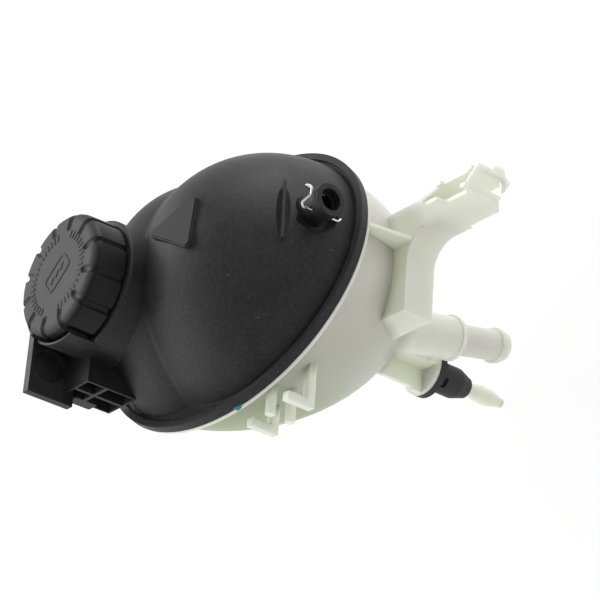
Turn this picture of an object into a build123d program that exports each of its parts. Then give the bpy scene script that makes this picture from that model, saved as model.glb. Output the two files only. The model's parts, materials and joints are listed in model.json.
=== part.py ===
"""Coolant expansion tank: two welded shells, a filler neck with a pressure cap, hose ports and mounts.

Millimetres, +Z up along the filler neck. The origin is on the mounting pin, where the body of its grommet
starts below the groove. The weld plane between the shells leans, and what sits on the tank is placed from
its centre.
"""

import os
from math import atan2, cos, radians, sin, sqrt

from build123d import *

os.makedirs("parts", exist_ok=True)

# Weld plane between the shells
weld_x, weld_y, weld_z = 6.4, 11.3, 136.8
weld_lean = 15.3
weld_heading = -31.0
flange_radius = 93.0
wall = 3.0

# Upper shell: a dome with two humps, turned about an axis that lies below the weld plane
dome_height = 68.0
dome_half_width = 83.0
hump_half_length = 75.0
hump_offset = 13.0
hump_heading = 124.0
neck_hump_half_length = 60.0
neck_hump_radius = 81.3
neck_hump_offset = 24.0
valley_fillet = 7.0
lip_width = 4.0
lip_height = 5.0
gutter_floor = 2.4

# Lower shell: half an ellipsoid that hangs from its rim circle down to its lowest point
bowl_radius = 86.5
bowl_depth = 102.0
bowl_shift_x, bowl_shift_y = 7.0, 5.5
lower_flange_thickness = 2.6
lower_flange_step = 0.7

# Filler neck, as offsets from the weld centre
neck_dx, neck_dy = -11.4, 37.3
collar_radius = 39.3
collar_rise = 75.0
collar_edge = 1.5
shield_rise = 15.0
shield_start, shield_end = 105.0, 195.0
neck_radius = 28.5
neck_bore = 25.0
neck_height = 16.0

# Cap
cap_radius = 36.6
cap_gap = 1.4
cap_skirt_wall = 5.1
cap_top = 3.0
cap_edge = 5.5
cap_taper = 0.5
grip_count = 12
grip_start = 15.0
grip_groove_radius = 2.6
grip_groove_depth = 1.5
grip_scoop = 9.5
snap_width = 0.9
snap_height = 1.6
slack = 0.3

# Valve plug in the neck
plug_flange_radius = 31.1
plug_flange = 2.0
plug_clearance = 0.7
plug_length = 25.0
plug_wall = 4.2
seal_section = 2.8
seal_gap = 0.08
seal_drop = 5.5
seal_pitch = 8.5
seat_wall = 3.0
seat_bore = 9.0
vent_slot = 5.0
retainer_thickness = 2.0
retainer_hole = 6.0
retainer_bite = 1.0
guide_width = 4.0
guide_height = 4.0
fit = 0.05

# Pressure and vacuum valves
plunger_radius = 15.5
plunger_disc = 2.4
relief_seal_radius = 12.5
relief_seal_thickness = 1.6
relief_wire = 1.6
relief_coil_radius = 12.5
relief_turns = 4.5
vacuum_hole = 2.6
vacuum_stem = 1.6
vacuum_head_radius = 5.4
vacuum_head = 1.5
vacuum_wire = 0.7
vacuum_coil_radius = 3.2
vacuum_turns = 4.0
vacuum_spring_length = 6.0
vacuum_rivet = 2.2
washer_radius = 4.4
washer_thickness = 1.0

# Vent port on the dome, pointing to -Y
port_dx, port_dz = 17.5, 12.3
port_reach = 93.5
port_radius = 9.5
port_length = 16.5
port_bore = 6.5
port_bore_depth = 5.5
port_throat = 5.4
port_throat_depth = 16.0
port_hole = 3.0
pocket_radius = 14.2
clip_wire = 1.3
clip_leg = 6.1
clip_setback = 7.4
clip_drop = 13.4
clip_rise = 10.9
clip_slot_slack = 0.4
clip_toe = 2.0
clip_bow = 1.5
clip_crest = 3.2
clip_lean = 4.2

# Fin in its scoop on the front of the dome
fin_dx, fin_dy, fin_dz = 12.5, -73.0, 27.0
fin_length = 40.0
fin_thickness = 1.5
scoop_radius = 6.0
scoop_depth = 1.6
fin_rise = 1.8

# Label on its pad
label_along = -10.0
label_across = -18.6
label_corner_radius = 22.0
label_rounding = 3.0
label_thickness = 0.5
label_inset = 0.8
pad_rise = 0.7

# Ribbed bracket behind the neck
bracket_x0, bracket_x1 = -73.0, -36.0
bracket_y1 = 65.5
bracket_base, bracket_floor, bracket_top = 35.0, 68.0, 92.0
bracket_skirt = 62.5
lattice_x = -66.0
lattice_pitch = 13.2
lattice_reach = 26.4
lattice_shelf = 54.5
ledge_level, ledge_height = 53.0, 14.5
ledge_width, ledge_reach = 9.0, 4.0
bracket_plate = 5.0
recess_depth = 2.5
recess_side, recess_margin, recess_corner = 9.5, 2.0, 6.0
rib = 2.2

# Mounting pin, post and grommet
disc_radius = 15.5
disc_thickness = 2.4
post_rib = 3.0
post_inset = 1.8
post_foot = 8.6
pin_radius = 4.0
pin_neck_length = 36.0
pin_bulge_radius = 5.4
pin_bulge_start, pin_bulge_end = 40.0, 50.0
pin_length = 60.5
pin_tip_radius = 2.6
grommet_flange = 4.5
grommet_groove_radius = 7.6
grommet_groove = 4.0
grommet_body_radius = 9.3
grommet_body_end = 23.0
grommet_tip_radius = 6.3
grommet_length = 32.0
grommet_slot_width = 6.0
grommet_slot_height = 3.6
grommet_bore_gap = 0.05

# Hose barb, as offsets of its collar from the weld centre
barb_dx, barb_dy, barb_dz = 1.0, -42.9, -121.1
barb_lean = 12.5
socket_radius = 12.4
socket_top_radius = 13.4
barb_collar_radius = 13.3
barb_collar = 2.6
tube_radius = 9.1
lip_start = 31.5
lip_radius = 10.4
lip_land = 3.0
barb_length = 39.0
barb_end_radius = 8.8
barb_bore = 7.0

# Hooks for a thin hose on the -X side of the bowl
hook_bar = 4.8
hook_reach_back, hook_reach_front = -92.0, -86.0
hook_level = -11.0
hook_rise = 15.5
hook_pitch = 15.0
hook_y = -41.0
peg_reach = -89.5
peg_rise = 13.5

# Arm and holder on the -Y side of the bowl
arm_level = -45.0
arm_thickness = 3.0
arm_x0, arm_front = -26.0, -90.5
arm_bend = 16.0
arm_back = -56.0
arm_skirt = 20.0
holder_x0, holder_x1 = 20.6, 38.6
holder_start, holder_end = -101.0, -152.0
holder_front_top, holder_rear_top, holder_base = -31.0, -40.5, -63.0
holder_slope = 20.0
holder_chamfer = 8.0
holder_wall = 2.5
notch_start, notch_width, notch_depth, notch_rounding = -129.3, 18.7, 6.3, 2.0
nub_first, nub_pitch, nub_width, nub_rise = -121.4, 24.5, 3.7, 1.6
window_width, window_height = 11.0, 15.0
ear_level, ear_height, ear_reach = -55.0, 8.0, 3.5
gusset_x, gusset_thickness, gusset_reach = 15.0, 2.6, -94.0

# Frames worked out from the sizes above
weld_center = Vector(weld_x, weld_y, weld_z)
lean, heading = radians(weld_lean), radians(weld_heading)
weld_normal = Vector(sin(lean) * cos(heading), sin(lean) * sin(heading), cos(lean))
weld_downhill = Vector(cos(lean) * cos(heading), cos(lean) * sin(heading), -sin(lean))
weld_plane = Plane(weld_center, x_dir=weld_downhill, z_dir=weld_normal)
weld_axis = Axis(weld_center, weld_normal)
weld_section = Plane(weld_center, x_dir=weld_downhill, z_dir=-weld_plane.y_dir)
bowl_fall = Vector(bowl_shift_x, bowl_shift_y, -bowl_depth)
fall_depth = bowl_fall.dot(weld_normal)
fall_side = bowl_fall - weld_normal * fall_depth
fall_run = fall_side.length
bowl_mean = (bowl_radius**2 + fall_run**2 + fall_depth**2) / 2
bowl_spread = sqrt(bowl_mean**2 - (bowl_radius * fall_depth) ** 2)
bowl_turn = atan2(2 * fall_run * fall_depth, bowl_radius**2 + fall_run**2 - fall_depth**2) / 2
bowl_long = fall_side.normalized() * cos(bowl_turn) + weld_normal * sin(bowl_turn)
bowl_plane = Plane(weld_center, x_dir=weld_normal.cross(fall_side), z_dir=bowl_long)
bowl_axes = (bowl_radius, sqrt(bowl_mean - bowl_spread), sqrt(bowl_mean + bowl_spread))

across = weld_downhill * cos(radians(hump_heading)) + weld_plane.y_dir * sin(radians(hump_heading))
along = across.cross(weld_normal)
dome_drop = (dome_half_width**2 - dome_height**2) / (2 * dome_height)
dome_radius = dome_height + dome_drop
dome_center = weld_center - weld_normal * dome_drop
dome_axis = Axis(dome_center, across)
dome_section = Plane(dome_center, x_dir=across, z_dir=across.cross(-weld_normal))

neck_x, neck_y = weld_x + neck_dx, weld_y + neck_dy
collar_top = weld_z + collar_rise
neck_top = collar_top + neck_height
cap_bottom = collar_top + cap_gap
neck_plane = Plane((neck_x, neck_y, 0))
port_center = Vector(weld_x + port_dx, weld_y - port_reach, weld_z + port_dz)
port_plane = Plane(port_center, x_dir=(1, 0, 0), z_dir=(0, -1, 0))
bracket_origin = (weld_x, weld_y + bracket_y1 - bracket_plate, weld_z)
bracket_face = Plane(bracket_origin, x_dir=(1, 0, 0), z_dir=(0, -1, 0))
pin_shoulder = grommet_flange + grommet_groove
shoulder_plane = Plane((0, 0, pin_shoulder))
pin_section = Plane((0, 0, pin_shoulder), x_dir=(1, 0, 0), z_dir=(0, -1, 0))


def dome_profile(skin):
    """Two overlapping ellipses with a soft valley between them, drawn skin inside the outer surface."""
    with BuildSketch(dome_section) as profile:
        with Locations((-hump_offset, 0)):
            Ellipse(hump_half_length - skin, dome_radius - skin)
        with Locations((neck_hump_offset, 0)):
            Ellipse(neck_hump_half_length - skin, neck_hump_radius - skin)
        valleys = profile.vertices().filter_by_position(Axis.X, -hump_offset, neck_hump_offset)
        fillet(valleys, valley_fillet + skin)
        with Locations((0, dome_radius)):
            Rectangle(4 * hump_half_length, 2 * dome_radius, mode=Mode.INTERSECT)
    return profile.sketch


def on_main_hump(point):
    """The plane that touches the main hump of the dome where the radius through point meets it."""
    offset = point - dome_center
    axial = offset.dot(across)
    radial = (offset - across * axial).normalized()
    share = (axial + hump_offset) / hump_half_length
    radius = dome_radius * sqrt(1 - share**2)
    slope = -dome_radius / hump_half_length * share / sqrt(1 - share**2)
    normal = (radial - across * slope).normalized()
    return Plane(dome_center + across * axial + radial * radius, x_dir=along, z_dir=normal)


def from_weld(dx, dy, dz):
    """A point given by its offsets from the weld centre."""
    return weld_center + Vector(dx, dy, dz)


fin_plane = on_main_hump(from_weld(fin_dx, fin_dy, fin_dz))
fin_run = (Vector(1, 0, 0) - fin_plane.z_dir * fin_plane.z_dir.X).normalized()
scoop_center = fin_plane.origin + fin_plane.z_dir * (scoop_radius - scoop_depth)
scoop_plane = Plane(scoop_center, x_dir=fin_plane.z_dir, z_dir=fin_run)
label_spot = dome_center + across * label_across + weld_normal * dome_radius + along * label_along
label_surface = on_main_hump(label_spot)
pad_plane = Plane(label_surface.origin, x_dir=across, z_dir=label_surface.z_dir).offset(pad_rise)
pocket_floor = port_plane.offset(-port_length)

with BuildPart() as upper_cavity:
    add(dome_profile(wall))
    revolve(axis=dome_axis)
    with BuildSketch(pocket_floor.offset(-wall)):
        Circle(pocket_radius + wall)
    extrude(amount=flange_radius, mode=Mode.SUBTRACT)
    with BuildSketch(scoop_plane):
        Circle(scoop_radius + wall)
    extrude(amount=fin_length, both=True, mode=Mode.SUBTRACT)
    with BuildSketch(neck_plane.offset(weld_z)):
        Circle(collar_radius - wall)
    extrude(amount=collar_rise - wall)

with BuildPart() as upper_shell:
    add(dome_profile(0))
    revolve(axis=dome_axis)
    split(bisect_by=weld_plane, keep=Keep.TOP)
    # Weld flange with its gutter and outer lip
    with BuildSketch(weld_section):
        with BuildLine():
            Polyline(
                (dome_half_width - 3 * wall, 0),
                (flange_radius, 0),
                (flange_radius, lip_height),
                (flange_radius - lip_width, lip_height),
                (flange_radius - lip_width, gutter_floor),
                (dome_half_width - 3 * wall, gutter_floor),
                close=True,
            )
        make_face()
    revolve(axis=weld_axis)
    # Neck collar
    with BuildSketch(neck_plane.offset(weld_z + dome_height / 3)):
        Circle(collar_radius)
    extrude(amount=collar_rise - dome_height / 3)
    fillet(upper_shell.faces().sort_by(Axis.Z)[-1].edges(), collar_edge)
    # Scoop with its fin
    with BuildSketch(scoop_plane):
        Circle(scoop_radius)
    extrude(amount=fin_length, both=True, mode=Mode.SUBTRACT)
    with BuildSketch(Plane(fin_plane.origin, x_dir=fin_run, z_dir=fin_plane.z_dir).offset(fin_rise)):
        SlotOverall(fin_length, fin_thickness)
    extrude(amount=-2 * wall)
    # Pad under the label
    with BuildSketch(pad_plane):
        RegularPolygon(label_corner_radius, 3)
        fillet(vertices(), label_rounding)
    extrude(amount=-2 * wall)
    # Vent port in its pocket
    with BuildSketch(pocket_floor):
        Circle(pocket_radius)
    extrude(amount=flange_radius, mode=Mode.SUBTRACT)
    with BuildSketch(pocket_floor.offset(-wall)):
        Circle(port_radius)
    extrude(amount=port_length + wall)
    # Bracket: ribbed lattice below, and a plate with an eight-sided recess above
    with BuildSketch(Plane(from_weld(lattice_x, bracket_y1, bracket_base), x_dir=(0, 1, 0), z_dir=(1, 0, 0))):
        with Locations((-lattice_reach / 2, (bracket_floor - bracket_base) / 2)):
            Rectangle(lattice_reach, bracket_floor - bracket_base)
        for near, far in ((0, lattice_pitch), (lattice_pitch, lattice_reach)):
            for low, high in ((bracket_base, lattice_shelf), (lattice_shelf, bracket_floor)):
                with Locations((-(near + far) / 2, (low + high) / 2 - bracket_base)):
                    Rectangle(far - near - rib, high - low - rib, mode=Mode.SUBTRACT)
    extrude(amount=bracket_x1 - lattice_x)
    with BuildSketch(Plane(from_weld(lattice_x, bracket_y1, ledge_level), x_dir=(0, 1, 0), z_dir=(1, 0, 0))):
        RectangleRounded(2 * ledge_reach, ledge_height, rib / 2)
    extrude(amount=ledge_width)
    with BuildSketch(bracket_face):
        with Locations(((bracket_x0 + bracket_x1) / 2, (bracket_skirt + bracket_top) / 2)):
            Rectangle(bracket_x1 - bracket_x0, bracket_top - bracket_skirt)
    extrude(amount=-bracket_plate)
    with BuildSketch(bracket_face):
        with Locations(((bracket_x0 + bracket_x1) / 2, (bracket_floor + bracket_top) / 2)):
            Rectangle(bracket_x1 - bracket_x0 - 2 * recess_side, bracket_top - bracket_floor - 2 * recess_margin)
        chamfer(vertices(), recess_corner)
    extrude(amount=-recess_depth, mode=Mode.SUBTRACT)
    with BuildSketch(neck_plane.offset(collar_top)):
        Circle(cap_radius + cap_gap)
    extrude(amount=bracket_top, mode=Mode.SUBTRACT)
    # Shield between cap and bracket
    with BuildSketch(neck_plane.offset(collar_top - collar_edge)):
        with BuildLine():
            CenterArc((0, 0), collar_radius, shield_start, shield_end - shield_start)
            CenterArc((0, 0), cap_radius + cap_gap, shield_start, shield_end - shield_start)
            Line(PolarLine((0, 0), collar_radius, shield_start, mode=Mode.PRIVATE) @ 1,
                 PolarLine((0, 0), cap_radius + cap_gap, shield_start, mode=Mode.PRIVATE) @ 1)
            Line(PolarLine((0, 0), collar_radius, shield_end, mode=Mode.PRIVATE) @ 1,
                 PolarLine((0, 0), cap_radius + cap_gap, shield_end, mode=Mode.PRIVATE) @ 1)
        make_face()
    extrude(amount=collar_edge + shield_rise)
    # Inside, then neck and bores
    add(upper_cavity.part, mode=Mode.SUBTRACT)
    with BuildSketch(neck_plane.offset(collar_top - wall)):
        Circle(neck_radius)
    extrude(amount=neck_height + wall)
    with BuildSketch(neck_plane.offset(collar_top - 2 * wall)):
        Circle(neck_bore)
    extrude(amount=neck_height + 3 * wall, mode=Mode.SUBTRACT)
    for radius, depth in (
        (port_bore, port_bore_depth),
        (port_throat, port_throat_depth),
        (port_hole, port_length + 3 * wall),
    ):
        with BuildSketch(port_plane):
            Circle(radius)
        extrude(amount=-depth, mode=Mode.SUBTRACT)
    slot_width = clip_wire + 2 * clip_slot_slack
    with Locations(port_plane.offset(-clip_setback)):
        with Locations((clip_leg, 0), (-clip_leg, 0)):
            Box(slot_width, 4 * port_radius, slot_width, mode=Mode.SUBTRACT)
upper_shell.part.label = "upper_shell"
export_step(upper_shell.part, "parts/upper_shell.step")

with BuildPart() as bowl:
    Sphere(1)
    scale(by=bowl_axes)

with BuildPart() as bowl_inside:
    Sphere(1)
    scale(by=tuple(axis - wall for axis in bowl_axes))

barb_center = from_weld(barb_dx, barb_dy, barb_dz)
barb_way = Vector(sin(radians(barb_lean)), 0, -cos(radians(barb_lean)))
barb_axis = Axis(barb_center, barb_way)
barb_section = Plane(barb_center, x_dir=(cos(radians(barb_lean)), 0, sin(radians(barb_lean))), z_dir=(0, -1, 0))


def arm_plan(level, inset):
    """Plan of the arm at a level, drawn inset: along the bowl, then round a bend and out to the holder."""
    with BuildSketch(Plane(from_weld(0, 0, level))) as plan:
        with BuildLine():
            Polyline(
                (arm_x0, arm_front),
                (holder_x0, arm_front),
                (holder_x0, holder_start - holder_slope),
                (holder_x1, holder_start),
                (holder_x1, arm_back),
                (arm_x0, arm_back),
                close=True,
            )
        make_face()
        fillet(plan.vertices().sort_by_distance((holder_x0, arm_front))[0], arm_bend)
        if inset:
            offset(amount=-inset, mode=Mode.REPLACE)
    return plan.sketch


def holder_side(top):
    """Outline of a holder wall in Y and Z: up a slope from the arm, along the top, and down a cut corner."""
    with BuildLine() as outline:
        Polyline(
            (holder_start, arm_level),
            (holder_start - holder_slope, top),
            (holder_end, top),
            (holder_end, holder_base + holder_chamfer),
            (holder_end + holder_chamfer, holder_base),
            (holder_start, holder_base),
            close=True,
        )
    return outline.line


with BuildPart() as lower_shell:
    # Arm: a plate with a skirt, open below
    add(arm_plan(arm_level, 0))
    extrude(amount=-arm_skirt)
    add(arm_plan(arm_level - arm_thickness, holder_wall))
    extrude(amount=-arm_skirt, mode=Mode.SUBTRACT)
    # Bowl with its weld flange
    with Locations(bowl_plane):
        add(bowl.part)
    with BuildSketch(weld_plane):
        Circle(flange_radius - lower_flange_step)
    extrude(amount=-lower_flange_thickness)
    # Cross-ribbed post down to the disc that carries the grommet
    with BuildSketch(shoulder_plane):
        Rectangle(2 * (disc_radius - post_inset), post_rib)
        Rectangle(post_rib, 2 * (disc_radius - post_inset))
    extrude(amount=weld_z - pin_shoulder - bowl_depth / 2)
    with BuildSketch(shoulder_plane):
        Rectangle(2 * disc_radius, post_rib)
        Rectangle(post_rib, 2 * disc_radius)
        Circle(disc_radius, mode=Mode.INTERSECT)
    extrude(amount=post_foot)
    with BuildSketch(shoulder_plane):
        Circle(disc_radius)
    extrude(amount=disc_thickness)
    # Mounting pin
    with BuildSketch(pin_section):
        with BuildLine():
            Polyline(
                (0, disc_thickness / 2),
                (pin_radius, disc_thickness / 2),
                (pin_radius, -pin_neck_length),
                (pin_bulge_radius, -pin_bulge_start),
                (pin_bulge_radius, -pin_bulge_end),
                (pin_tip_radius, -pin_length),
                (0, -pin_length),
                close=True,
            )
        make_face()
    revolve(axis=Axis.Z)
    # Hose barb with its socket and collar
    with BuildSketch(barb_section):
        with BuildLine():
            Polyline(
                (0, bowl_depth / 2),
                (socket_top_radius, bowl_depth / 2),
                (socket_radius, barb_collar),
                (barb_collar_radius, barb_collar),
                (barb_collar_radius, 0),
                (tube_radius, 0),
                (tube_radius, -lip_start),
                (lip_radius, -lip_start),
                (lip_radius, -lip_start - lip_land),
                (barb_end_radius, -barb_length),
                (0, -barb_length),
                close=True,
            )
        make_face()
    revolve(axis=barb_axis)
    # Hooks and pegs for a thin hose
    for side, reach in ((1, hook_reach_back), (-1, hook_reach_front)):
        hook_plane = Plane(from_weld(0, hook_y + side * hook_pitch, hook_level), x_dir=(1, 0, 0), z_dir=(0, -1, 0))
        with BuildSketch(hook_plane):
            with BuildLine():
                Polyline(
                    (-bowl_radius / 2, -hook_bar / 2),
                    (reach, -hook_bar / 2),
                    (reach, hook_rise),
                    (reach + hook_bar, hook_rise),
                    (reach + hook_bar, hook_bar / 2),
                    (-bowl_radius / 2, hook_bar / 2),
                    close=True,
                )
            make_face()
        extrude(amount=hook_bar / 2, both=True)
    for level in (hook_level, hook_level + peg_rise):
        with BuildSketch(Plane(from_weld(peg_reach, hook_y, level), x_dir=(0, 1, 0), z_dir=(1, 0, 0))):
            RectangleRounded(hook_bar, hook_bar, hook_bar / 4)
        extrude(amount=bowl_radius / 2)
    # Gusset between flange and arm
    with BuildSketch(Plane(from_weld(gusset_x, 0, 0), x_dir=(0, 1, 0), z_dir=(1, 0, 0))):
        with BuildLine():
            Polyline(
                (-bowl_radius / 2, arm_level),
                (gusset_reach, arm_level),
                (-bowl_radius, 0),
                (-bowl_radius / 2, 0),
                close=True,
            )
        make_face()
    extrude(amount=gusset_thickness)
    # Holder: a notched front wall, a rear wall with nubs and an end frame with an ear
    with BuildSketch(Plane(from_weld(holder_x0, 0, 0), x_dir=(0, 1, 0), z_dir=(1, 0, 0))):
        with BuildLine():
            add(holder_side(holder_front_top))
        make_face()
        with Locations((notch_start - notch_width / 2, holder_front_top)):
            RectangleRounded(notch_width, 2 * notch_depth, notch_rounding, mode=Mode.SUBTRACT)
    extrude(amount=holder_wall)
    with BuildSketch(Plane(from_weld(holder_x1, 0, 0), x_dir=(0, 1, 0), z_dir=(1, 0, 0))):
        with BuildLine():
            add(holder_side(holder_rear_top))
        make_face()
        for spot in (nub_first, nub_first - nub_pitch):
            with Locations((spot, holder_rear_top)):
                RectangleRounded(nub_width, 2 * nub_rise, nub_rise / 2)
    extrude(amount=-holder_wall)
    with BuildSketch(Plane(from_weld(holder_x0, holder_end, 0), x_dir=(1, 0, 0), z_dir=(0, -1, 0))):
        with BuildLine():
            Polyline(
                (0, holder_front_top),
                (holder_x1 - holder_x0, holder_rear_top),
                (holder_x1 - holder_x0, holder_base + holder_chamfer / 2),
                (holder_x1 - holder_x0 - holder_chamfer / 2, holder_base),
                (0, holder_base + holder_chamfer),
                close=True,
            )
        make_face()
        with Locations(((holder_x1 - holder_x0) / 2, (holder_rear_top + holder_base) / 2)):
            RectangleRounded(window_width, window_height, notch_rounding, mode=Mode.SUBTRACT)
        with Locations((holder_x1 - holder_x0, ear_level)):
            RectangleRounded(2 * ear_reach, ear_height, notch_rounding)
    extrude(amount=-holder_wall)
    # Weld face, inside and bore
    split(bisect_by=weld_plane, keep=Keep.BOTTOM)
    with Locations(bowl_plane):
        add(bowl_inside.part, mode=Mode.SUBTRACT)
    with BuildSketch(Plane(barb_section.origin, x_dir=barb_section.x_dir, z_dir=-barb_way).offset(-barb_length)):
        Circle(barb_bore)
    extrude(amount=barb_length + bowl_depth / 2, mode=Mode.SUBTRACT)
lower_shell.part.label = "lower_shell"
export_step(lower_shell.part, "parts/lower_shell.step")

with BuildPart() as mount_grommet:
    with BuildSketch(pin_section):
        with BuildLine():
            Polyline(
                (pin_radius + grommet_bore_gap, 0),
                (disc_radius, 0),
                (disc_radius, -grommet_flange),
                (grommet_groove_radius, -grommet_flange),
                (grommet_groove_radius, -grommet_flange - grommet_groove),
                (grommet_body_radius, -grommet_flange - grommet_groove),
                (grommet_body_radius, -grommet_body_end),
                (grommet_tip_radius, -grommet_length),
                (pin_radius + grommet_bore_gap, -grommet_length),
                close=True,
            )
        make_face()
    revolve(axis=Axis.Z)
    slot_level = -grommet_slot_height / 2
    with Locations((0, 0, slot_level)):
        with PolarLocations(grommet_body_radius, 4, start_angle=45):
            Box(grommet_slot_height, grommet_slot_width, grommet_slot_height, mode=Mode.SUBTRACT)
mount_grommet.part.label = "mount_grommet"
export_step(mount_grommet.part, "parts/mount_grommet.step")

with BuildPart() as label_plate:
    with BuildSketch(pad_plane):
        RegularPolygon(label_corner_radius - 2 * label_inset, 3)
        fillet(vertices(), label_rounding - label_inset)
    extrude(amount=label_thickness)
label_plate.part.label = "label_plate"
export_step(label_plate.part, "parts/label_plate.step")

with BuildPart() as vent_clip:
    with BuildLine(port_plane.offset(-clip_setback)) as clip_path:
        FilletPolyline(
            (clip_toe - clip_leg, -clip_drop),
            (-clip_leg, clip_toe - clip_drop),
            (-clip_leg, clip_rise),
            (-clip_leg - clip_bow, clip_rise + 0.5 * clip_crest),
            (clip_bow - clip_leg, clip_rise + clip_crest, clip_lean / 6),
            (0, clip_rise, 0.9 * clip_lean),
            (clip_leg - clip_bow, clip_rise, clip_lean),
            (clip_leg, clip_rise + 0.6 * clip_crest, clip_lean / 2),
            (clip_leg, clip_rise + 0.3 * clip_crest),
            (clip_leg, clip_toe - clip_drop),
            (clip_leg - clip_toe, -clip_drop),
            radius=0.9 * clip_wire,
        )
    with BuildSketch(Plane(clip_path.line @ 0, z_dir=clip_path.line % 0)):
        Circle(clip_wire / 2)
    sweep(transition=Transition.ROUND)
vent_clip.part.label = "vent_clip"
export_step(vent_clip.part, "parts/vent_clip.step")

neck_axis = Axis((neck_x, neck_y, 0), (0, 0, 1))
neck_section = Plane((neck_x, neck_y, 0), x_dir=(1, 0, 0), z_dir=(0, -1, 0))
plug_flange_base = neck_top + slack
plug_flange_top = plug_flange_base + plug_flange
cap_ceiling = plug_flange_top + slack
cap_crown = cap_ceiling + cap_top
cap_bore = cap_radius - cap_skirt_wall
snap_top = plug_flange_base - slack

with BuildPart() as grip_groove:
    groove_x = cap_radius + grip_groove_radius - grip_groove_depth
    groove_z = cap_crown + grip_groove_radius - grip_groove_depth
    with BuildLine(neck_section) as groove_path:
        FilletPolyline(
            (groove_x, cap_bottom - grip_groove_radius),
            (groove_x - cap_taper, groove_z),
            (cap_radius - grip_scoop, groove_z),
            radius=cap_edge + grip_groove_radius - grip_groove_depth,
        )
    with BuildSketch(Plane(groove_path.line @ 0, z_dir=groove_path.line % 0)):
        Circle(grip_groove_radius)
    sweep(transition=Transition.ROUND)
    with Locations(groove_path.line @ 1):
        Sphere(grip_groove_radius)

with BuildPart() as cap_shell:
    with BuildSketch(neck_section):
        with BuildLine():
            Polyline(
                (0, cap_ceiling),
                (cap_bore, cap_ceiling),
                (cap_bore, snap_top),
                (cap_bore - snap_width, snap_top),
                (cap_bore - snap_width, snap_top - snap_height),
                (cap_bore, snap_top - snap_height - snap_width),
                (cap_bore, cap_bottom),
                (cap_radius, cap_bottom),
                (cap_radius - cap_taper, cap_crown),
                (0, cap_crown),
                close=True,
            )
        make_face()
        fillet(vertices().sort_by_distance((cap_radius, cap_crown))[0], cap_edge)
    revolve(axis=neck_axis)
    with Locations((neck_x, neck_y, 0)):
        with PolarLocations(0, grip_count, start_angle=grip_start):
            add(grip_groove.part.moved(Location((-neck_x, -neck_y, 0))), mode=Mode.SUBTRACT)
cap_shell.part.label = "cap_shell"
export_step(cap_shell.part, "parts/cap_shell.step")

plug_radius = neck_bore - plug_clearance
plug_bore = plug_radius - plug_wall
plug_end = plug_flange_base - plug_length
seat_top = plug_end + seat_wall
seal_outer = neck_bore - seal_gap
seal_groove_radius = seal_outer - seal_section
seal_levels = (plug_flange_base - seal_drop - seal_pitch, plug_flange_base - seal_drop)
retainer_top = plug_flange_base - slack
retainer_base = retainer_top - retainer_thickness
retainer_radius = plug_bore + retainer_bite

with BuildPart() as valve_housing:
    with BuildSketch(neck_section):
        with BuildLine():
            Polyline(
                (seat_bore, plug_end),
                (plug_radius, plug_end),
                (plug_radius, plug_flange_base),
                (plug_flange_radius, plug_flange_base),
                (plug_flange_radius, plug_flange_top),
                (plug_bore, plug_flange_top),
                (plug_bore, seat_top),
                (seat_bore, seat_top),
                close=True,
            )
        make_face()
        for level in seal_levels:
            with Locations((plug_radius, level)):
                Rectangle(2 * (plug_radius - seal_groove_radius), seal_section + 2 * fit, mode=Mode.SUBTRACT)
        with Locations((plug_bore, (retainer_base + retainer_top) / 2)):
            Rectangle(2 * (retainer_bite + fit), retainer_thickness + 2 * fit, mode=Mode.SUBTRACT)
    revolve(axis=neck_axis)
    with BuildSketch(neck_plane.offset(plug_flange_top)):
        for turn in (0, 90):
            Rectangle(2 * plug_flange_radius, vent_slot, rotation=turn)
    extrude(amount=-plug_flange / 2, mode=Mode.SUBTRACT)
valve_housing.part.label = "valve_housing"
export_step(valve_housing.part, "parts/valve_housing.step")

with BuildPart() as lower_seal:
    with Locations((neck_x, neck_y, seal_levels[0])):
        Torus(seal_outer - seal_section / 2, seal_section / 2)
lower_seal.part.label = "lower_seal"
export_step(lower_seal.part, "parts/lower_seal.step")

with BuildPart() as upper_seal:
    with Locations((neck_x, neck_y, seal_levels[1])):
        Torus(seal_outer - seal_section / 2, seal_section / 2)
upper_seal.part.label = "upper_seal"
export_step(upper_seal.part, "parts/upper_seal.step")

with BuildPart() as spring_retainer:
    with BuildSketch(neck_plane.offset(retainer_base)):
        Circle(retainer_radius)
        Circle(retainer_hole, mode=Mode.SUBTRACT)
        with PolarLocations((retainer_hole + retainer_radius) / 2 + vent_slot / 2, 4, start_angle=45):
            Circle(vent_slot / 2, mode=Mode.SUBTRACT)
    extrude(amount=retainer_thickness)
spring_retainer.part.label = "spring_retainer"
export_step(spring_retainer.part, "parts/spring_retainer.step")

relief_seal_base = seat_top + fit
plunger_base = relief_seal_base + relief_seal_thickness
plunger_top = plunger_base + plunger_disc

with BuildPart() as relief_seal:
    with BuildSketch(neck_plane.offset(relief_seal_base)):
        Circle(relief_seal_radius)
        Circle(vacuum_head_radius + 2 * slack, mode=Mode.SUBTRACT)
    extrude(amount=relief_seal_thickness)
relief_seal.part.label = "relief_seal"
export_step(relief_seal.part, "parts/relief_seal.step")

with BuildPart() as relief_plunger:
    with BuildSketch(neck_plane.offset(plunger_base)):
        Circle(plunger_radius)
        for turn in (0, 90):
            Rectangle(2 * plug_bore, guide_width, rotation=turn)
        Circle(plug_bore - 1.5 * slack, mode=Mode.INTERSECT)
        Circle(vacuum_hole, mode=Mode.SUBTRACT)
    extrude(amount=plunger_disc)
    with BuildSketch(neck_plane.offset(plunger_top)):
        for turn in (0, 90):
            Rectangle(2 * plug_bore, guide_width, rotation=turn)
        Circle(plug_bore - 1.5 * slack, mode=Mode.INTERSECT)
        Circle(plunger_radius, mode=Mode.SUBTRACT)
    extrude(amount=guide_height)
relief_plunger.part.label = "relief_plunger"
export_step(relief_plunger.part, "parts/relief_plunger.step")

relief_length = retainer_base - plunger_top

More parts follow.
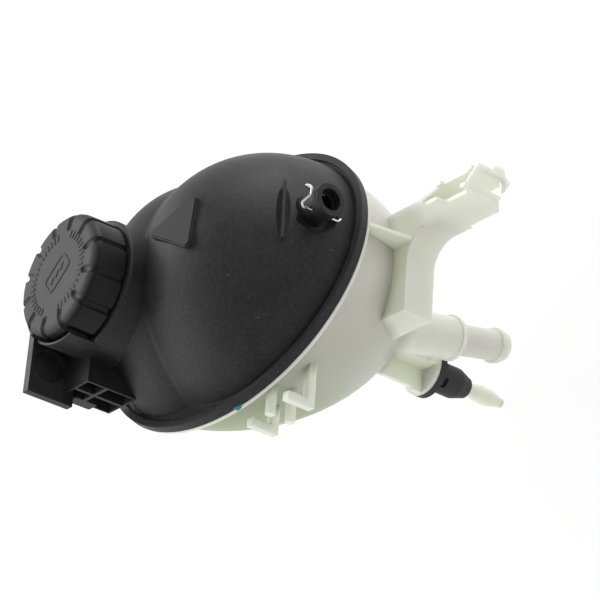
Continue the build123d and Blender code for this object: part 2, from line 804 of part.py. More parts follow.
with BuildPart() as relief_spring:
    with BuildLine(neck_plane.offset(plunger_top)) as relief_path:
        Helix(relief_length / relief_turns, relief_length, relief_coil_radius)
    with BuildSketch(Plane(relief_path.line @ 0, z_dir=relief_path.line % 0)):
        Circle(relief_wire / 2)
    sweep(is_frenet=True)
    split(bisect_by=neck_plane.offset(plunger_top), keep=Keep.TOP)
    split(bisect_by=neck_plane.offset(retainer_base), keep=Keep.BOTTOM)
relief_spring.part.label = "relief_spring"
export_step(relief_spring.part, "parts/relief_spring.step")

vacuum_top = plunger_top + vacuum_spring_length

with BuildPart() as vacuum_valve:
    with BuildSketch(neck_section):
        with BuildLine():
            Polyline(
                (0, plunger_base - fit - vacuum_head),
                (vacuum_head_radius, plunger_base - fit - vacuum_head),
                (vacuum_head_radius, plunger_base - fit),
                (vacuum_stem, plunger_base - fit),
                (vacuum_stem, vacuum_top + washer_thickness),
                (vacuum_rivet, vacuum_top + washer_thickness),
                (vacuum_rivet, vacuum_top + 2 * washer_thickness),
                (0, vacuum_top + 2 * washer_thickness),
                close=True,
            )
        make_face()
    revolve(axis=neck_axis)
vacuum_valve.part.label = "vacuum_valve"
export_step(vacuum_valve.part, "parts/vacuum_valve.step")

with BuildPart() as vacuum_spring:
    with BuildLine(neck_plane.offset(plunger_top)) as vacuum_path:
        Helix(vacuum_spring_length / vacuum_turns, vacuum_spring_length, vacuum_coil_radius)
    with BuildSketch(Plane(vacuum_path.line @ 0, z_dir=vacuum_path.line % 0)):
        Circle(vacuum_wire / 2)
    sweep(is_frenet=True)
    split(bisect_by=neck_plane.offset(plunger_top), keep=Keep.TOP)
    split(bisect_by=neck_plane.offset(vacuum_top), keep=Keep.BOTTOM)
vacuum_spring.part.label = "vacuum_spring"
export_step(vacuum_spring.part, "parts/vacuum_spring.step")

with BuildPart() as vacuum_washer:
    with BuildSketch(neck_plane.offset(vacuum_top)):
        Circle(washer_radius)
        Circle(vacuum_stem + fit / 2, mode=Mode.SUBTRACT)
    extrude(amount=washer_thickness)
vacuum_washer.part.label = "vacuum_washer"
export_step(vacuum_washer.part, "parts/vacuum_washer.step")
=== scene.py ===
"""Looks of the coolant expansion tank: finishes for every solid, and the small moulded and painted detail."""

import json
import math

import bmesh
import bpy
import numpy as np
from mathutils import Matrix, Vector


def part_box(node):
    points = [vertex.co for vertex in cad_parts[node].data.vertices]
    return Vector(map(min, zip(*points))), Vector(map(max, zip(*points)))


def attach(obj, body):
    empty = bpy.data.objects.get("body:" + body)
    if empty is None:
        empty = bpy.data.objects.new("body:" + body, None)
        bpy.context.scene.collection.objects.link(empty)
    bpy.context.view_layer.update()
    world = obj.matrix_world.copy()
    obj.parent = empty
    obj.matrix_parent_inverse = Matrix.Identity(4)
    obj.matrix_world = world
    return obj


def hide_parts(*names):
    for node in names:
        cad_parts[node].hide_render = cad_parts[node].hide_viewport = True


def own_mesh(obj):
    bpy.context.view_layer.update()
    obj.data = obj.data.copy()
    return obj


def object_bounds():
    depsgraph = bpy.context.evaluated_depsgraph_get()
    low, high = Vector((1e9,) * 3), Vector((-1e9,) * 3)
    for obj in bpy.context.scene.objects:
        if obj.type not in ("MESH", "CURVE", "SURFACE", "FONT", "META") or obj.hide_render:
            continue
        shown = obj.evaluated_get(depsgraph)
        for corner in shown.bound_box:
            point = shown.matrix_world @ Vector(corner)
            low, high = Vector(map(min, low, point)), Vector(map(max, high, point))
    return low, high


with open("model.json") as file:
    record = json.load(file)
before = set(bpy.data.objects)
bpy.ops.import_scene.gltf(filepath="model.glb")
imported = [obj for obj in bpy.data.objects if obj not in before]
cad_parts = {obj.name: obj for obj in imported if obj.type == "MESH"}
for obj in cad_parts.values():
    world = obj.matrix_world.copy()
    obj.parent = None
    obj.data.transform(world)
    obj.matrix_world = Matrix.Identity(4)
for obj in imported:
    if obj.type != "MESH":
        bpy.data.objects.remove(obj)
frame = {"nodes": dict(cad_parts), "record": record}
cad_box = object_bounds()
nodes = frame["nodes"]
MM = 0.001
TURN = 2 * np.pi

# Places taken over from the frame, in millimetres
mounts = {mount["name"]: mount for mount in frame["record"]["mounts"]}
joints = {joint["name"]: joint for joint in frame["record"]["behaviour"]["joints"]}
neck_x, neck_y, neck_top = np.array(joints["cap_turn"]["pos_m"]) / MM
cap_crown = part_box("cap_shell")[1].z / MM

# Sizes repeated from the part's source, in millimetres
port_from_weld = np.array((17.5, -93.5, 12.3))
weld_center = np.array(mounts["vent_port"]["pos_m"]) / MM - port_from_weld
weld_lean, weld_heading = math.radians(15.3), math.radians(-31.0)
weld_normal = np.array((
    math.sin(weld_lean) * math.cos(weld_heading),
    math.sin(weld_lean) * math.sin(weld_heading),
    math.cos(weld_lean),
))
weld_downhill = np.array((
    math.cos(weld_lean) * math.cos(weld_heading),
    math.cos(weld_lean) * math.sin(weld_heading),
    -math.sin(weld_lean),
))
weld_level = np.cross(weld_normal, weld_downhill)
flange_radius = 93.0
bowl_radius = 86.5
bowl_fall = np.array((7.0, 5.5, -102.0))
neck_radius = 28.5
cap_bore = 31.5
thread_pitch = 4.0

# Settings of the meshes made here. The merge distance is in metres
thread_steps_per_turn = 96
oval_power = 0.6
merge_distance = 1e-7
up_axis = (0, 0, 1)


def grid_faces(rows, columns, wrap_rows=False, wrap_columns=False):
    """Quads of a rows x columns grid of points, closed round either way where asked."""
    i = np.arange(rows if wrap_rows else rows - 1)
    j = np.arange(columns if wrap_columns else columns - 1)
    i, j = np.meshgrid(i, j, indexing="ij")
    ni, nj = (i + 1) % rows, (j + 1) % columns
    quads = np.stack((i * columns + j, i * columns + nj, ni * columns + nj, ni * columns + j), -1)
    return quads.reshape(-1, 4)


def make_piece(name, shapes, material, body):
    """One smooth closed mesh object from (points, quads) shapes in millimetres, which rides on a body."""
    points, quads, count = [], [], 0
    for shape_points, shape_quads in shapes:
        points.append(shape_points.reshape(-1, 3))
        quads.append(shape_quads + count)
        count += len(points[-1])
    mesh = bpy.data.meshes.new(name)
    mesh.from_pydata((np.concatenate(points) * MM).tolist(), [], np.concatenate(quads).tolist())
    solid = bmesh.new()
    solid.from_mesh(mesh)
    bmesh.ops.remove_doubles(solid, verts=solid.verts, dist=merge_distance)
    bmesh.ops.recalc_face_normals(solid, faces=solid.faces)
    solid.to_mesh(mesh)
    solid.free()
    mesh.polygons.foreach_set("use_smooth", np.full(len(mesh.polygons), True))
    mesh.materials.append(material)
    piece = bpy.data.objects.new(name, mesh)
    bpy.context.scene.collection.objects.link(piece)
    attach(piece, body)


def stroke(path, up, half_width, height, sink, closed=False, sides=12):
    """A raised stroke along a path.

    The section is a flattened oval: half_width to each side, height above the path along up and sink
    below it. At an open end the section shrinks as a quarter circle over one half_width.
    """
    path = np.asarray(path, float)
    up = np.broadcast_to(up, path.shape)
    step = np.roll(path, -1, 0) - np.roll(path, 1, 0) if closed else np.gradient(path, axis=0)
    side = np.cross(up, step)
    side /= np.linalg.norm(side, axis=1, keepdims=True)
    run = np.concatenate(((0.0,), np.cumsum(np.linalg.norm(np.diff(path, axis=0), axis=1))))
    near_end = np.minimum(np.minimum(run, run[-1] - run) / half_width, 1.0)
    size = np.ones(len(path)) if closed else np.sqrt(1.0 - (1.0 - near_end) ** 2)
    turn = np.arange(sides) / sides * TURN
    reach = np.where(np.sin(turn) > 0, height, sink)
    wide = half_width * np.sign(np.cos(turn)) * np.abs(np.cos(turn)) ** oval_power
    tall = reach * np.sign(np.sin(turn)) * np.abs(np.sin(turn)) ** oval_power
    offsets = side[:, None] * wide[:, None] + up[:, None] * tall[:, None]
    points = path[:, None] + size[:, None, None] * offsets
    return points, grid_faces(len(path), sides, wrap_rows=closed, wrap_columns=True)


def helix(radius, low, high, phase):
    """Points of a right-hand helix round the neck, with its outward directions: height is pitch x turns."""
    height = np.linspace(low, high, int((high - low) / thread_pitch * thread_steps_per_turn))
    turn = (height - neck_top) / thread_pitch * TURN + phase
    outward = np.stack((np.cos(turn), np.sin(turn), np.zeros_like(turn)), -1)
    axis = np.stack((np.full_like(turn, neck_x), np.full_like(turn, neck_y), height), -1)
    return axis + radius * outward, outward


def on_crown(x, y, heading):
    """Points of the cap's crown, given in a frame at its middle that is turned to a heading."""
    angle = math.radians(heading)
    across, along = np.asarray(x, float), np.asarray(y, float)
    east = neck_x + across * math.cos(angle) - along * math.sin(angle)
    north = neck_y + across * math.sin(angle) + along * math.cos(angle)
    return np.stack((east, north, np.full_like(east, cap_crown)), -1)


def on_rim(angle, radius, height):
    """Points round the weld plane, by angle from its downhill line, radius, and height along its normal."""
    angle, radius, height = np.broadcast_arrays(angle, radius, height)
    outward = np.cos(angle)[..., None] * weld_downhill + np.sin(angle)[..., None] * weld_level
    return weld_center + radius[..., None] * outward + height[..., None] * weld_normal


# Shader helpers


def add_node(tree, kind, **values):
    """A shader node with some of its inputs set by name."""
    item = tree.nodes.new(kind)
    for key, value in values.items():
        item.inputs[key.replace("_", " ")].default_value = value
    return item


def link(tree, source, target):
    """One link from an output socket to an input socket."""
    tree.links.new(source, target)


def grain_group():
    """Moulded plastic skin: fine grain as Height, mottling as Mottle, flecks as Dust, and rare Specks."""
    group = bpy.data.node_groups.new("moulded_skin", "ShaderNodeTree")
    for name in ("Grain Scale", "Mottle Scale"):
        group.interface.new_socket(name, in_out="INPUT", socket_type="NodeSocketFloat")
    for name in ("Height", "Mottle", "Dust", "Specks"):
        group.interface.new_socket(name, in_out="OUTPUT", socket_type="NodeSocketFloat")
    entry, leave = group.nodes.new("NodeGroupInput"), group.nodes.new("NodeGroupOutput")
    place = group.nodes.new("ShaderNodeTexCoord")
    grain = add_node(group, "ShaderNodeTexNoise", Detail=2.0, Roughness=0.6)
    mottle = add_node(group, "ShaderNodeTexNoise", Detail=5.0, Roughness=0.62, Distortion=0.4)
    dust = add_node(group, "ShaderNodeTexNoise", Scale=420.0, Detail=4.0, Roughness=0.7)
    specks = add_node(group, "ShaderNodeTexVoronoi", Scale=95.0)
    cut = add_node(group, "ShaderNodeMapRange", From_Min=0.03, From_Max=0.012)
    for texture in (grain, mottle, dust, specks):
        link(group, place.outputs["Object"], texture.inputs["Vector"])
    link(group, entry.outputs["Grain Scale"], grain.inputs["Scale"])
    link(group, entry.outputs["Mottle Scale"], mottle.inputs["Scale"])
    link(group, specks.outputs["Distance"], cut.inputs["Value"])
    link(group, grain.outputs["Fac"], leave.inputs["Height"])
    link(group, mottle.outputs["Fac"], leave.inputs["Mottle"])
    link(group, dust.outputs["Fac"], leave.inputs["Dust"])
    link(group, cut.outputs["Result"], leave.inputs["Specks"])
    return group


def height_band_group():
    """A soft mask that rises from 0 to 1 between two heights of the Object coordinates, in metres."""
    group = bpy.data.node_groups.new("height_band", "ShaderNodeTree")
    for name in ("Low", "High"):
        group.interface.new_socket(name, in_out="INPUT", socket_type="NodeSocketFloat")
    group.interface.new_socket("Mask", in_out="OUTPUT", socket_type="NodeSocketFloat")
    entry, leave = group.nodes.new("NodeGroupInput"), group.nodes.new("NodeGroupOutput")
    place = group.nodes.new("ShaderNodeTexCoord")
    parts = group.nodes.new("ShaderNodeSeparateXYZ")
    band = group.nodes.new("ShaderNodeMapRange")
    band.interpolation_type = "SMOOTHSTEP"
    link(group, place.outputs["Object"], parts.inputs["Vector"])
    link(group, parts.outputs["Z"], band.inputs["Value"])
    link(group, entry.outputs["Low"], band.inputs["From Min"])
    link(group, entry.outputs["High"], band.inputs["From Max"])
    link(group, band.outputs["Result"], leave.inputs["Mask"])
    return group


def bowl_reach_group():
    """How far out a point lies from the bowl: 1 on its outer skin and more on what stands out from it.

    The bowl is half a ball that is stretched down to its lowest point and hangs from its rim circle. The
    share of the way down is the height over the weld plane divided by the bowl's depth. The rest, in the
    weld plane, is divided by the rim's radius, and the length of both together is the reach.
    """
    depth = bowl_fall @ weld_normal
    down = weld_normal / depth
    group = bpy.data.node_groups.new("bowl_reach", "ShaderNodeTree")
    group.interface.new_socket("Reach", in_out="OUTPUT", socket_type="NodeSocketFloat")
    leave = group.nodes.new("NodeGroupOutput")
    place = group.nodes.new("ShaderNodeTexCoord")
    offset = group.nodes.new("ShaderNodeVectorMath")
    offset.operation = "SUBTRACT"
    offset.inputs[1].default_value = tuple(weld_center * MM)
    joined = group.nodes.new("ShaderNodeCombineXYZ")
    length = group.nodes.new("ShaderNodeVectorMath")
    length.operation = "LENGTH"
    link(group, place.outputs["Object"], offset.inputs[0])
    first, second = ((way - (bowl_fall @ way) * down) / bowl_radius for way in (weld_downhill, weld_level))
    for name, row in (("X", first), ("Y", second), ("Z", down)):
        dot = group.nodes.new("ShaderNodeVectorMath")
        dot.operation = "DOT_PRODUCT"
        dot.inputs[1].default_value = tuple(row / MM)
        link(group, offset.outputs["Vector"], dot.inputs[0])
        link(group, dot.outputs["Value"], joined.inputs[name])
    link(group, joined.outputs["Vector"], length.inputs[0])
    link(group, length.outputs["Value"], leave.inputs["Reach"])
    return group


skin = grain_group()
band = height_band_group()
bowl_reach = bowl_reach_group()


def new_material(name):
    """An empty node material with a Principled BSDF, and its tree."""
    material = bpy.data.materials.new(name)
    material.use_nodes = True
    tree = material.node_tree
    return material, tree, tree.nodes["Principled BSDF"]


def ramp(tree, source, stops):
    """A colour ramp over a value, with (position, colour) stops."""
    item = tree.nodes.new("ShaderNodeValToRGB")
    while len(item.color_ramp.elements) < len(stops):
        item.color_ramp.elements.new(0.5)
    for element, (position, colour) in zip(item.color_ramp.elements, stops):
        element.position = position
        element.color = (*colour, 1.0)
    link(tree, source, item.inputs["Fac"])
    return item.outputs["Color"]


def to_range(tree, source, low, high, new_low, new_high):
    """A value carried from one range to another, held at the ends."""
    item = tree.nodes.new("ShaderNodeMapRange")
    for key, value in (("From Min", low), ("From Max", high), ("To Min", new_low), ("To Max", new_high)):
        item.inputs[key].default_value = value
    link(tree, source, item.inputs["Value"])
    return item.outputs["Result"]


def mix_colour(tree, mask, first, second):
    """Two colours mixed by a mask socket. Each colour may be a socket or a plain colour."""
    item = tree.nodes.new("ShaderNodeMix")
    item.data_type = "RGBA"
    factor, colour_a, colour_b = item.inputs[0], item.inputs[6], item.inputs[7]
    link(tree, mask, factor)
    for socket, value in ((colour_a, first), (colour_b, second)):
        if isinstance(value, bpy.types.NodeSocket):
            link(tree, value, socket)
        else:
            socket.default_value = (*value, 1.0)
    return item.outputs[2]


def bump(tree, shader, height, strength, distance):
    """Surface relief from a height value, over edges that look slightly rounded."""
    edge = add_node(tree, "ShaderNodeBevel", Radius=0.0007)
    edge.samples = 4
    item = add_node(tree, "ShaderNodeBump", Strength=strength, Distance=distance)
    link(tree, edge.outputs["Normal"], item.inputs["Normal"])
    link(tree, height, item.inputs["Height"])
    link(tree, item.outputs["Normal"], shader.inputs["Normal"])


def placed_skin(tree, grain_scale, mottle_scale):
    """The moulded skin group placed in a material with its own scales."""
    item = tree.nodes.new("ShaderNodeGroup")
    item.node_tree = skin
    item.inputs["Grain Scale"].default_value = grain_scale
    item.inputs["Mottle Scale"].default_value = mottle_scale
    return item


def moulded_plastic(name, dark, pale, roughness, grain_scale=1400.0, depth=0.00006, worn=0.0, shine=0.42):
    """Opaque moulded plastic: two near colours mottled together and grain in the relief.

    Where it is worn, it carries dusty flecks, a few specks and a dull sheen towards its outline.
    """
    material, tree, shader = new_material(name)
    surface = placed_skin(tree, grain_scale, mottle_scale=34.0)
    colour = ramp(tree, surface.outputs["Mottle"], ((0.34, dark), (0.68, pale)))
    if worn:
        dust_grey, speck_grey = (0.058, 0.058, 0.060), (0.35, 0.35, 0.35)
        dusty = to_range(tree, surface.outputs["Dust"], 0.45, 0.75, 0.0, 0.5 * worn)
        colour = mix_colour(tree, dusty, colour, dust_grey)
        speckled = to_range(tree, surface.outputs["Specks"], 0.0, 1.0, 0.0, worn)
        colour = mix_colour(tree, speckled, colour, speck_grey)
        shader.inputs["Sheen Weight"].default_value = 0.08 * worn
        shader.inputs["Sheen Roughness"].default_value = 0.4
    link(tree, colour, shader.inputs["Base Color"])
    low, high = roughness
    link(tree, to_range(tree, surface.outputs["Mottle"], 0.3, 0.7, low, high), shader.inputs["Roughness"])
    shader.inputs["Specular IOR Level"].default_value = shine
    bump(tree, shader, surface.outputs["Height"], strength=0.35, distance=depth)
    return material


def cap_plastic(name):
    """Cap plastic: a dull crown grey with painted light, over darker, smoother sides below its rounded edge.
    """
    side_below, crown_above = cap_crown - 3.0, cap_crown - 0.3
    side_dark, side_pale = (0.005, 0.005, 0.006), (0.008, 0.008, 0.009)
    # The crown's grey is painted light on its lit top; its duller finish is the cap's own.
    lit_crown_dark, lit_crown_pale = (0.043, 0.043, 0.044), (0.053, 0.053, 0.054)
    material, tree, shader = new_material(name)
    surface = placed_skin(tree, grain_scale=1700.0, mottle_scale=26.0)
    crown = tree.nodes.new("ShaderNodeGroup")
    crown.node_tree = band
    crown.inputs["Low"].default_value = side_below * MM
    crown.inputs["High"].default_value = crown_above * MM
    mottle = surface.outputs["Mottle"]
    side = ramp(tree, mottle, ((0.3, side_dark), (0.7, side_pale)))
    # Painted light: the crown colour is lighter than the sides'.
    top = ramp(tree, mottle, ((0.3, lit_crown_dark), (0.7, lit_crown_pale)))
    link(tree, mix_colour(tree, crown.outputs["Mask"], side, top), shader.inputs["Base Color"])
    link(tree, to_range(tree, crown.outputs["Mask"], 0.0, 1.0, 0.38, 0.62), shader.inputs["Roughness"])
    shader.inputs["Specular IOR Level"].default_value = 0.2
    bump(tree, shader, surface.outputs["Height"], strength=0.4, distance=0.00006)
    return material


def natural_plastic(name):
    """Unfilled translucent plastic: milky, with painted shade and a greener tint towards one side.

    What stands out from the bowl is painted paler, as painted light, without the shade and the green.
    """
    milky_low, milky_high = (0.63, 0.63, 0.54), (0.69, 0.69, 0.60)
    # Second tone: painted shade towards one side. Third: a greener tint there. Last: painted light on what
    # stands out.
    painted_shade_tone, green_tone, painted_light_tone = (0.46, 0.475, 0.39), (0.29, 0.36, 0.19), (0.74, 0.755, 0.65)
    # Direction towards which the bowl gets painted shade and a greener tint.
    shade_and_green_side = (-0.886, 0.32, -0.34)
    material, tree, shader = new_material(name)
    surface = placed_skin(tree, grain_scale=900.0, mottle_scale=14.0)
    reach = tree.nodes.new("ShaderNodeGroup")
    reach.node_tree = bowl_reach
    place = tree.nodes.new("ShaderNodeTexCoord")
    lain = tree.nodes.new("ShaderNodeVectorMath")
    lain.operation = "DOT_PRODUCT"
    lain.inputs[1].default_value = shade_and_green_side
    link(tree, place.outputs["Object"], lain.inputs[0])
    # Painted light: what stands out from the bowl is painted paler, without the shade and the green.
    thin = to_range(tree, reach.outputs["Reach"], 1.012, 1.07, 0.0, 1.0)
    # Painted shade rises towards one side, and a greener tint lies beyond it.
    side = to_range(tree, lain.outputs["Value"], -0.06, 0.0, 0.0, 1.0)
    green_mask = to_range(tree, lain.outputs["Value"], 0.0, 0.02, 0.0, 1.0)
    mottle = surface.outputs["Mottle"]
    milky = ramp(tree, mottle, ((0.3, milky_low), (0.7, milky_high)))
    # Painted shade: the milky colour goes darker and greyer towards one side.
    dull = mix_colour(tree, side, milky, painted_shade_tone)
    green = mix_colour(tree, green_mask, dull, green_tone)
    link(tree, mix_colour(tree, thin, green, painted_light_tone), shader.inputs["Base Color"])
    link(tree, to_range(tree, mottle, 0.3, 0.7, 0.3, 0.42), shader.inputs["Roughness"])
    shader.inputs["Subsurface Weight"].default_value = 0.5
    shader.inputs["Subsurface Radius"].default_value = (0.012, 0.014, 0.010)
    shader.inputs["Subsurface Scale"].default_value = 1.0
    bump(tree, shader, surface.outputs["Height"], strength=0.15, distance=0.00005)
    return material


def bright_steel(name, colour, roughness):
    """Drawn steel wire: metal whose tone and polish vary finely, with a slight relief."""
    material, tree, shader = new_material(name)
    surface = placed_skin(tree, grain_scale=2600.0, mottle_scale=120.0)
    tone = ramp(tree, surface.outputs["Mottle"], ((0.3, tuple(0.82 * c for c in colour)), (0.7, colour)))
    link(tree, tone, shader.inputs["Base Color"])
    shader.inputs["Metallic"].default_value = 1.0
    low, high = roughness
    link(tree, to_range(tree, surface.outputs["Height"], 0.3, 0.7, low, high), shader.inputs["Roughness"])
    bump(tree, shader, surface.outputs["Height"], strength=0.2, distance=0.00003)
    return material


black_shell = moulded_plastic(
    "black_shell",
    dark=(0.007, 0.007, 0.008),
    pale=(0.019, 0.019, 0.021),
    roughness=(0.44, 0.62),
    worn=0.6,
    shine=0.3,
)
cap_skin = cap_plastic("cap_skin")
natural_shell = natural_plastic("natural_shell")
label_black = moulded_plastic(
    "label_black",
    dark=(0.008, 0.008, 0.009),
    pale=(0.012, 0.012, 0.013),
    roughness=(0.42, 0.5),
    depth=0.00002,
    shine=0.2,
)
black_rubber = moulded_plastic(
    "black_rubber",
    dark=(0.016, 0.016, 0.016),
    pale=(0.028, 0.028, 0.027),
    roughness=(0.55, 0.7),
    grain_scale=1100.0,
)
seal_rubber = moulded_plastic(
    "seal_rubber",
    dark=(0.012, 0.012, 0.012),
    pale=(0.02, 0.02, 0.02),
    roughness=(0.35, 0.5),
    grain_scale=1600.0,
)
valve_plastic = moulded_plastic(
    "valve_plastic", dark=(0.05, 0.05, 0.053), pale=(0.075, 0.075, 0.078), roughness=(0.4, 0.55)
)
wire_steel = bright_steel("wire_steel", colour=(0.80, 0.79, 0.76), roughness=(0.18, 0.34))
spring_steel = bright_steel("spring_steel", colour=(0.66, 0.66, 0.65), roughness=(0.24, 0.4))
paint = moulded_plastic("paint", dark=(0.0, 0.20, 0.19), pale=(0.0, 0.28, 0.26), roughness=(0.4, 0.5))

finishes = {
    "upper_shell": black_shell,
    "lower_shell": natural_shell,
    "label_plate": label_black,
    "vent_clip": wire_steel,
    "mount_grommet": black_rubber,
    "cap_shell": cap_skin,
    "valve_housing": valve_plastic,
    "upper_seal": seal_rubber,
    "lower_seal": seal_rubber,
    "relief_plunger": valve_plastic,
    "relief_seal": seal_rubber,
    "relief_spring": spring_steel,
    "spring_retainer": valve_plastic,
    "vacuum_valve": valve_plastic,
    "vacuum_spring": spring_steel,
    "vacuum_washer": spring_steel,
}
for node_name, finish in finishes.items():
    slots = nodes[node_name].data.materials
    slots.clear()
    slots.append(finish)


# Threads, raised marks of the cap, weld bead, paint mark and springs


def cap_marks():
    """The cap's raised marks: two arcs of radial bars, and a framed level line in the middle."""
    mark_height, mark_sink, bar_half_width, line_half_width = 0.45, 0.3, 0.8, 0.7
    bar_inner, bar_outer, bar_points = 20.6, 25.4, 15
    sign_heading, frame_half_length, frame_half_width, frame_power = -50.0, 10.5, 6.0, 0.35
    wave_reach, wave_height, wave_length = 7.5, 0.8, 5.0
    frame_points, wave_points = 96, 61
    shapes = []
    for heading in np.concatenate((np.arange(8.0, 160.0, 8.0), np.arange(192.0, 344.0, 8.0))):
        bar = on_crown(np.linspace(bar_inner, bar_outer, bar_points), np.zeros(bar_points), heading)
        shapes.append(stroke(bar, up_axis, bar_half_width, mark_height, mark_sink))
    turn = np.arange(frame_points) / frame_points * TURN
    square = [np.sign(f(turn)) * np.abs(f(turn)) ** frame_power for f in (np.cos, np.sin)]
    border = on_crown(frame_half_length * square[0], frame_half_width * square[1], sign_heading)
    shapes.append(stroke(border, up_axis, bar_half_width, mark_height, mark_sink, closed=True))
    x = np.linspace(-wave_reach, wave_reach, wave_points)
    wave = on_crown(x, wave_height * np.sin(x / wave_length * 2 * np.pi), sign_heading)
    shapes.append(stroke(wave, up_axis, line_half_width, mark_height, mark_sink))
    return shapes


def paint_dab():
    """A thin inspection dab on the rim: a flat oval whose outline swells by two sines, 0.15 mm proud."""
    row_count, column_count = 13, 48
    dab_angle, half_length, half_width, proud, drop = math.radians(229.2), 2.7, 1.5, 0.15, -0.1
    rows, columns = np.meshgrid(
        np.linspace(0.0, np.pi, row_count), np.arange(column_count) / column_count * TURN, indexing="ij"
    )
    spread = np.sin(rows) * (1.0 + 0.22 * np.sin(3 * columns + 0.7) + 0.12 * np.sin(5 * columns))
    angle = dab_angle + half_length / flange_radius * spread * np.cos(columns)
    height = drop + half_width * spread * np.sin(columns)
    points = on_rim(angle, flange_radius + proud * np.cos(rows), height)
    return points, grid_faces(row_count, column_count, wrap_columns=True)


def weld_bead():
    """Plastic squeezed out along the weld: a fine rope round the rim that swells and thins as three sines."""
    steps, inset, drop, half_width, height, sink = 720, 0.75, -0.35, 0.4, 0.45, 0.4
    angle = np.arange(steps) / steps * TURN
    swell = 0.10 * np.sin(11 * angle) + 0.07 * np.sin(29 * angle + 1.0) + 0.05 * np.sin(67 * angle)
    path = on_rim(angle, flange_radius - inset + swell, drop)
    outward = np.cos(angle)[:, None] * weld_downhill + np.sin(angle)[:, None] * weld_level
    return stroke(path, outward, half_width, height, sink, closed=True, sides=8)


thread_half_width, thread_sink, neck_thread_height, cap_thread_height = 0.8, 0.4, 1.7, 2.2
neck_ridge, neck_outward = helix(neck_radius, neck_top - 13.5, neck_top - 3.5, 0.0)
neck_thread = stroke(neck_ridge, neck_outward, thread_half_width, neck_thread_height, thread_sink)
make_piece("neck_thread", [neck_thread], black_shell, "tank")
cap_ridge, cap_outward = helix(cap_bore, neck_top - 13.2, neck_top - 4.2, math.pi)
cap_thread = stroke(cap_ridge, -cap_outward, thread_half_width, cap_thread_height, thread_sink)
make_piece("cap_thread", [cap_thread], cap_skin, "cap")
make_piece("cap_marks", cap_marks(), cap_skin, "cap")
make_piece("paint_dab", [paint_dab()], paint, "tank")
make_piece("weld_bead", [weld_bead()], natural_shell, "tank")


def coil(node_name, body):
    """A copy of a spring's solid that rides on a body, in place of the spring's own node, which is hidden."""
    piece = bpy.data.objects.new(node_name + "_coil", nodes[node_name].data.copy())
    bpy.context.scene.collection.objects.link(piece)
    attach(piece, body)
    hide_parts(node_name)
    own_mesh(piece)


coil("relief_spring", "plug")
coil("vacuum_spring", "relief")

# Camera, lights and floor


def photo_camera():
    """The long lens of the photograph: 33 degrees to the left of -Y, 32.5 degrees up, rolled by 66.5."""
    azimuth, elevation, roll = (math.radians(angle) for angle in (-33.0, 32.52, 66.53))
    stand_from_weld = Vector((-0.6943, -1.0869, 0.7833))
    out = math.cos(elevation)
    back = Vector((math.sin(azimuth) * out, -math.cos(azimuth) * out, math.sin(elevation)))
    level = Vector((math.cos(azimuth), math.sin(azimuth), 0.0))
    rise = back.cross(level)
    right = level * math.cos(roll) - rise * math.sin(roll)
    up = level * math.sin(roll) + rise * math.cos(roll)
    data = bpy.data.cameras.new("camera")
    data.sensor_width = 36.0
    data.lens = 162.0
    data.clip_end = 20.0
    camera = bpy.data.objects.new("camera", data)
    stand = Vector(weld_center) * MM + stand_from_weld
    camera.matrix_world = Matrix.Translation(stand) @ Matrix((right, up, back)).transposed().to_4x4()
    bpy.context.scene.collection.objects.link(camera)
    bpy.context.scene.camera = camera
    return level, rise, back


def soft_lamp(name, way, distance, size, power, aim):
    """A square area lamp that looks at a point from a direction."""
    data = bpy.data.lights.new(name, "AREA")
    data.size, data.energy = size, power
    lamp = bpy.data.objects.new(name, data)
    spot = aim + way.normalized() * distance
    lamp.matrix_world = Matrix.Translation(spot) @ (aim - spot).to_track_quat("-Z", "Y").to_matrix().to_4x4()
    bpy.context.scene.collection.objects.link(lamp)


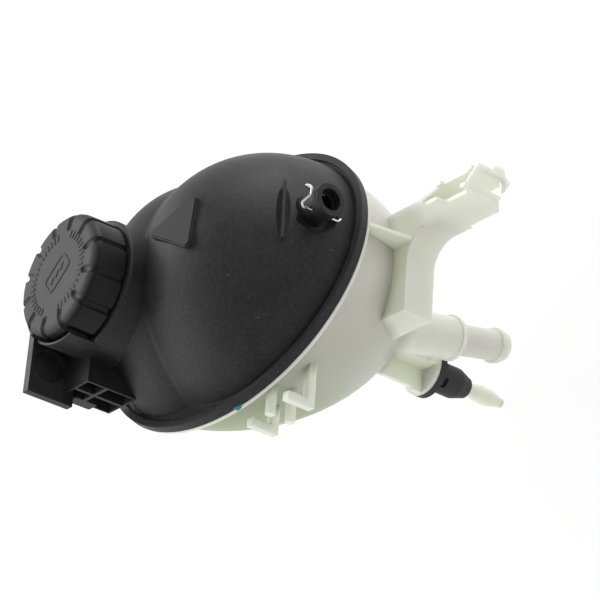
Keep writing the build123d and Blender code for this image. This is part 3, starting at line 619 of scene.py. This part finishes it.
def white_floor(height):
    """A wide pale floor: white to the eye, with part of its own shading left in so that the shadow stays."""
    half_side, white_share = 6.0, 0.9
    material = bpy.data.materials.new("floor")
    material.use_nodes = True
    tree = material.node_tree
    tree.nodes.clear()
    output = tree.nodes.new("ShaderNodeOutputMaterial")
    matt = add_node(tree, "ShaderNodeBsdfDiffuse", Color=(0.88, 0.88, 0.88, 1.0))
    glow = add_node(tree, "ShaderNodeEmission", Color=(1.0, 1.0, 1.0, 1.0), Strength=1.0)
    rays = tree.nodes.new("ShaderNodeLightPath")
    seen, through, share = (tree.nodes.new("ShaderNodeMath") for _ in range(3))
    seen.operation = through.operation = "MAXIMUM"
    share.operation = "MULTIPLY"
    share.inputs[1].default_value = white_share
    mixed = tree.nodes.new("ShaderNodeMixShader")
    link(tree, rays.outputs["Is Camera Ray"], seen.inputs[0])
    link(tree, rays.outputs["Is Glossy Ray"], seen.inputs[1])
    link(tree, seen.outputs[0], through.inputs[0])
    link(tree, rays.outputs["Is Transmission Ray"], through.inputs[1])
    link(tree, through.outputs[0], share.inputs[0])
    link(tree, share.outputs[0], mixed.inputs[0])
    link(tree, matt.outputs[0], mixed.inputs[1])
    link(tree, glow.outputs[0], mixed.inputs[2])
    link(tree, mixed.outputs[0], output.inputs["Surface"])
    mesh = bpy.data.meshes.new("floor")
    corners = np.array(((-1, -1), (1, -1), (1, 1), (-1, 1))) * half_side
    mesh.from_pydata([(x, y, height) for x, y in corners], [], [(0, 1, 2, 3)])
    mesh.materials.append(material)
    floor = bpy.data.objects.new("floor", mesh)
    bpy.context.scene.collection.objects.link(floor)


level, rise, back = photo_camera()
middle = Vector(weld_center) * MM
key_way = level * 0.9 + rise * 0.25 - back * 0.15
top_way = rise * 0.95 - level * 0.1 - back * 0.2
fill_way = rise * 0.6 - level * 0.7 + back * 0.15
soft_lamp("key", key_way, distance=1.4, size=1.0, power=10.0, aim=middle)
soft_lamp("top", top_way, distance=1.5, size=1.2, power=20.0, aim=middle)
soft_lamp("fill", fill_way, distance=1.5, size=1.2, power=10.0, aim=middle)
world = bpy.data.worlds.new("world")
world.use_nodes = True
sky = world.node_tree.nodes["Background"].inputs
sky["Color"].default_value = (1.0, 1.0, 1.0, 1.0)
sky["Strength"].default_value = 0.58
bpy.context.scene.world = world
bpy.context.scene.view_settings.view_transform = "Standard"
white_floor(cad_box[0].z)
